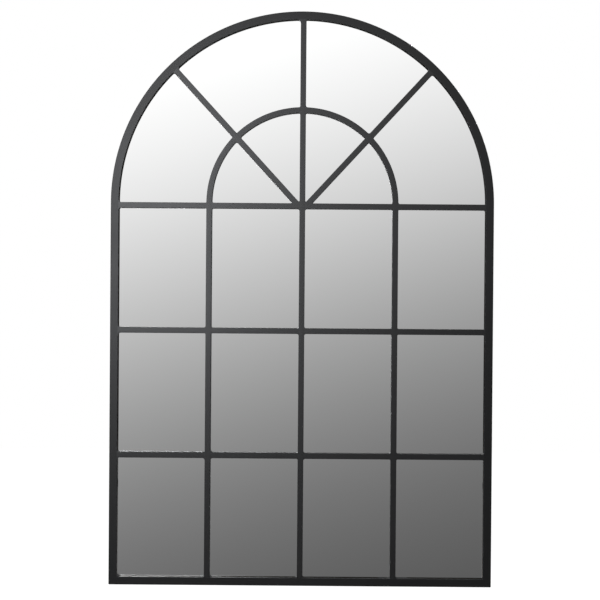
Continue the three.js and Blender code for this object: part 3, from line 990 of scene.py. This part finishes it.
def wire_ring():
    """A ring of round wire, hanging from its straight side at the origin."""
    bm = bmesh.new()
    wire_sides = 20
    corner_steps = 8
    round_end_steps = 32
    bend = RING_HALF_WIDTH - WIRE_CORNER
    bmesh.ops.create_circle(bm, cap_ends=False, radius=WIRE, segments=wire_sides)
    bmesh.ops.rotate(bm, verts=bm.verts, cent=(0, 0, 0), matrix=Matrix.Rotation(math.pi / 2, 3, "Y"))
    bmesh.ops.translate(bm, verts=bm.verts, vec=X * -bend)
    edges = grow(bm, bm.edges[:], X * (2 * bend))
    edges = sweep(bm, edges, (bend, 0, -WIRE_CORNER), math.pi / 2, corner_steps)
    edges = grow(bm, edges, -Z * (RING_LEG - WIRE_CORNER))
    edges = sweep(bm, edges, (0, 0, -RING_LEG), math.pi, round_end_steps)
    edges = grow(bm, edges, Z * (RING_LEG - WIRE_CORNER))
    sweep(bm, edges, (-bend, 0, -WIRE_CORNER), math.pi / 2, corner_steps)
    return bm


for side in ("left", "right"):
    pivot = middle_of(f"{side}_ring")
    pivot.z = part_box(f"{side}_strap")[0].z + STRAP_LENGTH
    add_fitting(f"{side}_curled_strap", place_fitting(curled_strap(), *pivot), f"{side}_strap")
    ring = place_fitting(wire_ring(), *pivot)
    add_fitting(f"{side}_wire_ring", ring, f"{side}_ring", body=f"{side}_ring")

# -------------------------------- bumpers


def wall_bumper(low, high):
    """A moulded bumper: upright side, drawn-in shoulder, flat face with a dished middle."""
    middle = (low + high) / 2
    radius = (high.x - low.x) / 2
    height = high.y - low.y
    side_height = 0.5 * height
    face = 0.8 * radius
    dish = 0.4 * radius
    dish_floor = 0.7 * dish
    dish_depth = 0.5 * MM
    edge_round = 0.45 * MM
    turned_edge = math.radians(15)
    profile = (
        (0, 0),
        (radius, 0),
        (radius, side_height),
        (face, height),
        (dish, height),
        (dish_floor, height - dish_depth),
        (0, height - dish_depth),
    )
    bm = turned(profile, sides=48)
    bmesh.ops.recalc_face_normals(bm, faces=bm.faces)
    rings = [
        e
        for e in bm.edges
        if e.is_manifold and e.calc_face_angle() > turned_edge and e.verts[0].co.y > TOUCHING
        and abs(e.verts[0].co.y - e.verts[1].co.y) < SAME_DEPTH
    ]
    round_edges(bm, rings, edge_round)
    bmesh.ops.translate(bm, verts=bm.verts, vec=(middle.x, low.y, middle.z))
    return bm


for side in ("left", "right"):
    bumper = wall_bumper(*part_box(f"{side}_bumper"))
    add_piece(
        f"{side}_rubber_bumper", bumper, [BUMPER_RUBBER], stands_for=[f"{side}_bumper"]
    )

# -------------------------------- tape and setting blocks


def refinish(node, material):
    """Gives a solid of the frame a finish. Its shape stays as it is."""
    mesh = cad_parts[node].data
    mesh.materials.clear()
    mesh.materials.append(material)


for place in ("left", "centre", "right"):
    refinish(f"{place}_tape", FOAM_TAPE)
for side in ("left", "right"):
    refinish(f"{side}_setting_block", NYLON)

# -------------------------------- stage materials


def seen_directly(tree):
    """1 for rays from the camera and through clear pieces, and 0 for all others."""
    rays = tree.nodes.new("ShaderNodeLightPath").outputs
    return math_node(tree, "MAXIMUM", rays["Is Camera Ray"], rays["Is Transmission Ray"])


def vector_node(tree, operation, first, second=None):
    """The outputs of a Vector Math node. The second term is a fixed vector."""
    node = tree.nodes.new("ShaderNodeVectorMath")
    node.operation = operation
    feed(tree, node.inputs[0], first)
    if second is not None:
        feed(tree, node.inputs[1], second)
    return node.outputs


def matte(tree, tone):
    node = tree.nodes.new("ShaderNodeBsdfDiffuse")
    node.inputs["Color"].default_value = (tone, tone, tone, 1)
    return node.outputs[0]


def combine(tree, kind, *terms):
    """Mixes or adds shaders."""
    node = tree.nodes.new(kind)
    for socket, term in zip(node.inputs, terms):
        tree.links.new(term, socket)
    return node.outputs[0]


def stage_material(name):
    """A material without a shader, its node tree and the socket for its surface."""
    material = bpy.data.materials.new(name)
    material.use_nodes = True
    tree = material.node_tree
    tree.nodes.clear()
    return material, tree, tree.nodes.new("ShaderNodeOutputMaterial").inputs["Surface"]


# -------------------------------- floor

FLOOR_DROP = 0.6  # below the mirror's bottom edge
FLOOR_REACH = 8.0
FLOOR_TONE = 0.82
SEEN_FLOOR_TONE = 0.30
SEEN_FLOOR_LIFT = 0.85  # its own light, up to white where nothing shades it


def floor_finish():
    """A pale matte floor. Seen directly it is white where nothing shades it."""
    material, tree, surface = stage_material("pale_floor")
    lift = tree.nodes.new("ShaderNodeEmission")
    lift.inputs["Strength"].default_value = SEEN_FLOOR_LIFT
    seen = combine(tree, "ShaderNodeAddShader", matte(tree, SEEN_FLOOR_TONE), lift.outputs[0])
    plain = matte(tree, FLOOR_TONE)
    floor = combine(tree, "ShaderNodeMixShader", seen_directly(tree), plain, seen)
    tree.links.new(floor, surface)
    return material


# -------------------------------- the room round the mirror

# What the mirror shows: a pale room that is bright high on the left and dim low on the right.
# Its far wall is a card that only reflections show. A direction's light on the card is that of the
# line to it from a fixed point behind the mirror.
ROOM_POINT = Vector((0.003, 3.0916, -0.177))
ROOM_SLANT = math.radians(17.36)
ROOM_DIM = 0.0466
ROOM_BRIGHT = 1.392
ROOM_MIDDLE = 0.061  # where the light is halfway, as a height in the direction looked in
ROOM_SPREAD = 0.0906
ROOM_CAP = 1.04
CARD_AWAY = 1.2
CARD_REACH = 12.0

# What lies beyond the card is a dimmer room with a window high on the left
BEYOND_MIDDLE = 0.35
WINDOW_WAY = Vector((-0.18, -1, 0.215)).normalized()
WINDOW_SPREAD = 0.16
WINDOW_BRIGHT = 9.0
SOFT_LEVEL = 0.6  # the plain level that lights matte surfaces


def room_level(tree, way, middle):
    """How bright the room is in a direction, where its light is halfway at a height."""
    slant = (-math.sin(ROOM_SLANT), 0, math.cos(ROOM_SLANT))
    height = vector_node(tree, "DOT_PRODUCT", way, slant)["Value"]
    above = math_node(tree, "SUBTRACT", height, middle)
    fall = math_node(tree, "EXPONENT", math_node(tree, "MULTIPLY", above, -1 / ROOM_SPREAD))
    share = math_node(tree, "DIVIDE", 1.0, math_node(tree, "ADD", fall, 1.0))
    level = math_node(tree, "MULTIPLY", share, ROOM_BRIGHT - ROOM_DIM)
    level = math_node(tree, "ADD", level, ROOM_DIM)
    return math_node(tree, "MINIMUM", level, ROOM_CAP)


def window_level(tree, way):
    """How much light the window adds in a direction, most in its middle."""
    off_middle = vector_node(tree, "DISTANCE", way, WINDOW_WAY)["Value"]
    share = math_node(tree, "SUBTRACT", 1.0, math_node(tree, "DIVIDE", off_middle, WINDOW_SPREAD))
    return math_node(tree, "MULTIPLY", math_node(tree, "MAXIMUM", share, 0.0), WINDOW_BRIGHT)


def build_world():
    """White where it is seen, the room in reflections, and a plain level for the rest."""
    world = bpy.data.worlds.new("room")
    bpy.context.scene.world = world
    world.use_nodes = True
    tree = world.node_tree
    tree.nodes.clear()
    way = tree.nodes.new("ShaderNodeTexCoord").outputs["Generated"]
    level = math_node(tree, "ADD", room_level(tree, way, BEYOND_MIDDLE), window_level(tree, way))
    glossy = tree.nodes.new("ShaderNodeLightPath").outputs["Is Glossy Ray"]
    reflected = math_node(tree, "MULTIPLY", glossy, math_node(tree, "SUBTRACT", level, SOFT_LEVEL))
    white = math_node(tree, "MULTIPLY", seen_directly(tree), 1.0 - SOFT_LEVEL)
    strength = math_node(tree, "ADD", math_node(tree, "ADD", reflected, SOFT_LEVEL), white)
    background = tree.nodes.new("ShaderNodeBackground")
    background.inputs["Color"].default_value = (1, 1, 1, 1)
    tree.links.new(strength, background.inputs["Strength"])
    out = tree.nodes.new("ShaderNodeOutputWorld")
    tree.links.new(background.outputs[0], out.inputs["Surface"])


def card_finish():
    """What the mirror shows. Light that meets both the mirror and the steel comes from beyond it."""
    material, tree, surface = stage_material("room_card")
    place = tree.nodes.new("ShaderNodeTexCoord").outputs["Object"]
    line = vector_node(tree, "SUBTRACT", place, ROOM_POINT)["Vector"]
    way = vector_node(tree, "NORMALIZE", line)["Vector"]
    glow = tree.nodes.new("ShaderNodeEmission")
    tree.links.new(room_level(tree, way, ROOM_MIDDLE), glow.inputs["Color"])
    clear = tree.nodes.new("ShaderNodeBsdfTransparent")
    depth = tree.nodes.new("ShaderNodeLightPath").outputs["Glossy Depth"]
    one_reflection = 1.5
    beyond = math_node(tree, "GREATER_THAN", depth, one_reflection)
    card = combine(tree, "ShaderNodeMixShader", beyond, glow.outputs[0], clear.outputs[0])
    tree.links.new(card, surface)
    return material


def add_stage(name, turn, place, size, material):
    """A flat square that isn't part of the mirror."""
    shape = bmesh.new()
    bmesh.ops.create_grid(shape, x_segments=1, y_segments=1, size=size)
    bmesh.ops.rotate(shape, verts=shape.verts, cent=(0, 0, 0), matrix=turn)
    bmesh.ops.translate(shape, verts=shape.verts, vec=place)
    mesh = bpy.data.meshes.new(name)
    shape.to_mesh(mesh)
    shape.free()
    mesh.materials.append(material)
    stage = bpy.data.objects.new(name, mesh)
    bpy.context.scene.collection.objects.link(stage)
    return stage


build_world()
floor_height = BOTTOM - FLOOR_DROP
add_stage("floor", Matrix.Identity(3), Z * floor_height, FLOOR_REACH, floor_finish())
standing = Matrix.Rotation(math.pi / 2, 3, "X")
card_middle = Vector((0, -CARD_AWAY, floor_height + CARD_REACH))
card = add_stage("room_card", standing, card_middle, CARD_REACH, card_finish())
card.visible_camera = False
card.visible_diffuse = False
card.visible_transmission = False
card.visible_shadow = False

# -------------------------------- lamps

# Each lamp's place, what it points at, its width and height, its power and its colour
SOFTBOXES = {
    "window_softbox": ((-0.70, -2.8, 0.2), (-0.1, 0, -0.1), (0.7, 1.2), 42, (0.97, 0.99, 1.03)),
    "back_softbox": ((1.2, 2.2, 1.2), (0, 0, -0.2), (1.4, 1.4), 40, (1, 1, 1)),
}


def add_softbox(name, place, aim, size, power, colour):
    """A lamp that shines on rough surfaces and isn't seen in the mirror."""
    light = bpy.data.lights.new(name, "AREA")
    light.cycles.use_multiple_importance_sampling = False
    light.color = colour
    light.shape = "RECTANGLE"
    light.size, light.size_y = size
    light.energy = power
    lamp = bpy.data.objects.new(name, light)
    lamp.location = place
    lamp.rotation_euler = (Vector(aim) - Vector(place)).to_track_quat("-Z", "Y").to_euler()
    bpy.context.scene.collection.objects.link(lamp)


for name, settings in SOFTBOXES.items():
    add_softbox(name, *settings)

# -------------------------------- camera

FRAME_PIXELS = 600
FOCAL_PIXELS = 1484.7
SENSOR = 36.0
CAMERA_AWAY = 3.1  # in front of the mirror's front
CAMERA_PLACE = Vector((0.003, FRONT - CAMERA_AWAY, -0.177))
CAMERA_YAW = math.radians(-0.12)  # to the right
CAMERA_PITCH = math.radians(-0.46)  # upwards
CAMERA_ROLL = math.radians(0.433)


def add_camera():
    forward = Vector((
        math.sin(CAMERA_YAW) * math.cos(CAMERA_PITCH),
        math.cos(CAMERA_YAW) * math.cos(CAMERA_PITCH),
        math.sin(CAMERA_PITCH),
    ))
    sideways = Vector((math.cos(CAMERA_YAW), -math.sin(CAMERA_YAW), 0))
    upwards = sideways.cross(forward)
    right = math.cos(CAMERA_ROLL) * sideways + math.sin(CAMERA_ROLL) * upwards
    up = math.cos(CAMERA_ROLL) * upwards - math.sin(CAMERA_ROLL) * sideways
    lens = bpy.data.cameras.new("camera")
    lens.sensor_width = SENSOR
    lens.lens = FOCAL_PIXELS * SENSOR / FRAME_PIXELS
    camera = bpy.data.objects.new("camera", lens)
    turn = Matrix((right, up, -forward)).transposed().to_4x4()
    camera.matrix_world = Matrix.Translation(CAMERA_PLACE) @ turn
    bpy.context.scene.collection.objects.link(camera)
    bpy.context.scene.camera = camera


add_camera()
bpy.context.scene.view_settings.view_transform = "Standard"
